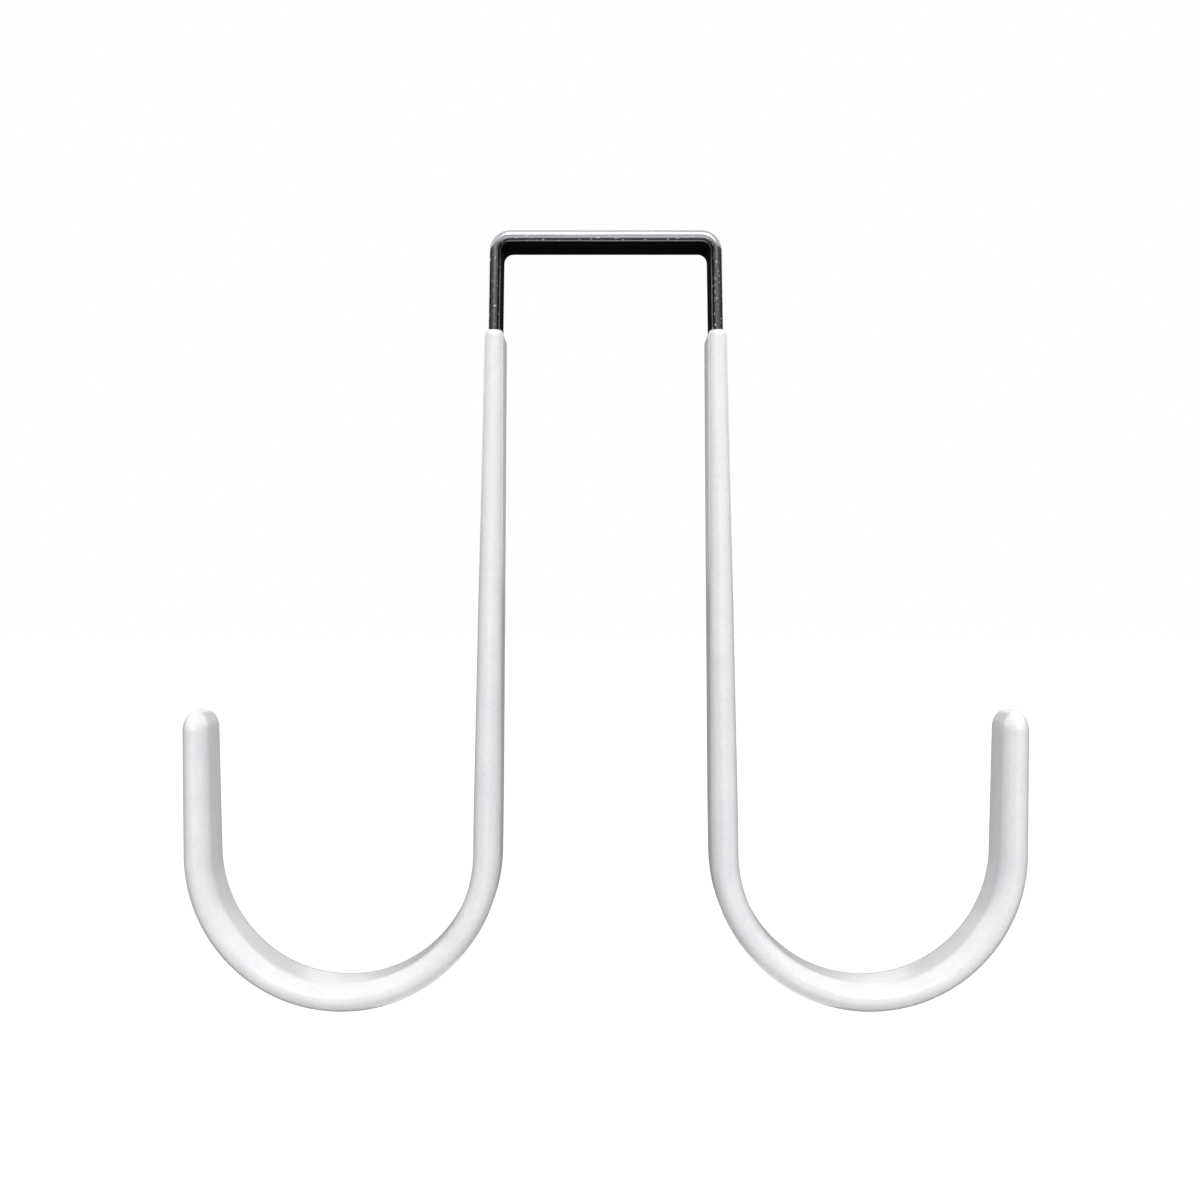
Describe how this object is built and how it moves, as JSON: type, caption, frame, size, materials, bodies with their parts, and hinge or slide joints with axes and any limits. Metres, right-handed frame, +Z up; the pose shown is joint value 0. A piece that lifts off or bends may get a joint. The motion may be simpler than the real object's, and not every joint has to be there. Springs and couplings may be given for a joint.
{
  "type": "wreath hanger",
  "caption": "Flat steel strip bent into a saddle that sits over the top of a door, with a vinyl-dipped J hook hanging down on each side of it.",
  "frame": {"origin": "middle of the saddle's underside, where it rests on the top edge of the door", "axes": "+X runs through the door from the left hook to the right hook, +Y runs along the door, +Z is up"},
  "size_m": [0.1898, 0.0228, 0.175],
  "materials": {
    "plated_steel": "satin",
    "white_vinyl": "gloss"
  },
  "bodies": {
    "root": {"steel_strip": "plated_steel", "vinyl_coat_left": "white_vinyl", "vinyl_coat_right": "white_vinyl"}
  },
  "joints": []
}
